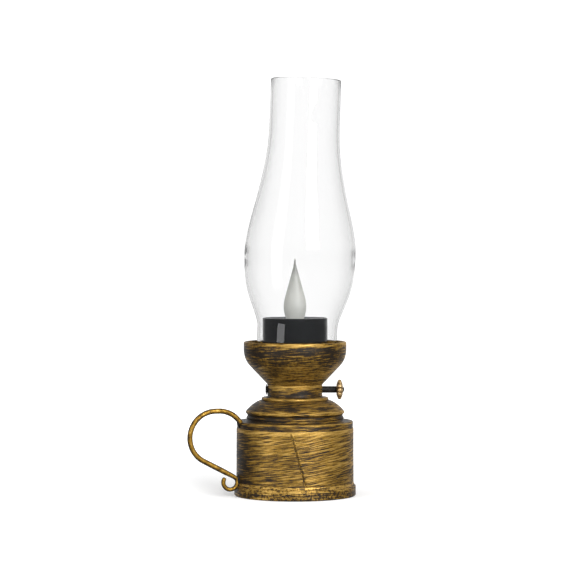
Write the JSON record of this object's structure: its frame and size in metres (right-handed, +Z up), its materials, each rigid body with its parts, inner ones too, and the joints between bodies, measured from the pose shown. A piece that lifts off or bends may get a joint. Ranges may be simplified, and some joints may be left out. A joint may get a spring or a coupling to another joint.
{
  "type": "oil lamp",
  "caption": "Decorative oil-lamp lantern: painted sheet-iron drum base with side loop handle and wick knob, loose glass chimney and LED tealight in the cup.",
  "frame": {"origin": "centre of the flat underside of the base", "axes": "+Z up along the lamp's axis; +X towards the wick knob; the handle is on the -X side, turned a little towards -Y"},
  "size_m": [0.0955, 0.0696, 0.2376],
  "materials": {
    "antique_gold_paint": "antique gold dry-brushed over near-black paint on sheet iron, brush marks across, darker in the hollows",
    "sheet_iron_inside": "thin black paint, satin",
    "black_steel": "black painted steel rod, satin",
    "knob_brass": "antiqued brass colour, dark in the flutes",
    "zinc_steel": "bright zinc plating",
    "cell_steel": "nickel-plated can, satin",
    "contact_brass": "thin nickel-plated brass strip",
    "clear_glass": "clear blown glass, smooth",
    "black_gloss_plastic": "moulded plastic, high gloss",
    "black_matte_plastic": "moulded plastic, fine matte",
    "slider_plastic": "moulded plastic, matte",
    "milky_silicone": "soft translucent milky silicone, satin",
    "led_epoxy": "clear warm-tinted epoxy"
  },
  "bodies": {
    "lamp": {"base_plate": "sheet_iron_inside", "foot_ring": "antique_gold_paint", "drum_shell": "antique_gold_paint", "shoulder_cover": "antique_gold_paint", "neck_collar": "antique_gold_paint", "gallery_cup": "antique_gold_paint", "candle_plate": "antique_gold_paint", "stem_screw": "zinc_steel", "stem_washer": "zinc_steel", "stem_nut": "zinc_steel", "handle": "antique_gold_paint"},
    "wick_knob": {"wick_shaft": "black_steel", "knob_wheel": "knob_brass", "end_washer": "black_steel", "shaft_clip": "zinc_steel"},
    "chimney": {"glass_chimney": "clear_glass"},
    "tealight": {"tealight_case": "black_gloss_plastic", "tealight_dish": "black_gloss_plastic", "bottom_cover": "black_matte_plastic", "flame_lens": "milky_silicone", "led": "led_epoxy", "coin_cell": "cell_steel", "contact_positive": "contact_brass", "contact_negative": "contact_brass", "switch_housing": "black_matte_plastic"},
    "power_switch": {"switch_slider": "slider_plastic"},
    "battery_door": {"battery_door": "black_matte_plastic"}
  },
  "joints": [
    {"name": "knob_turn", "type": "hinge", "parent": "lamp", "child": "wick_knob", "pos_m": [0, 0, 0.0603], "axis": [1, 0, 0], "continuous": true},
    {"name": "chimney_lift", "type": "slide", "parent": "lamp", "child": "chimney", "axis": [0, 0, 1], "range_m": [0, 0.06]},
    {"name": "tealight_lift", "type": "slide", "parent": "lamp", "child": "tealight", "axis": [0, 0, 1], "range_m": [0, 0.045]},
    {"name": "switch_slide", "type": "slide", "parent": "tealight", "child": "power_switch", "axis": [1, 0, 0], "range_m": [0, 0.0025]},
    {"name": "battery_door_twist", "type": "hinge", "parent": "tealight", "child": "battery_door", "pos_m": [0, -0.0035, 0.0852], "axis": [0, 0, 1], "range_deg": [0, 35]}
  ]
}
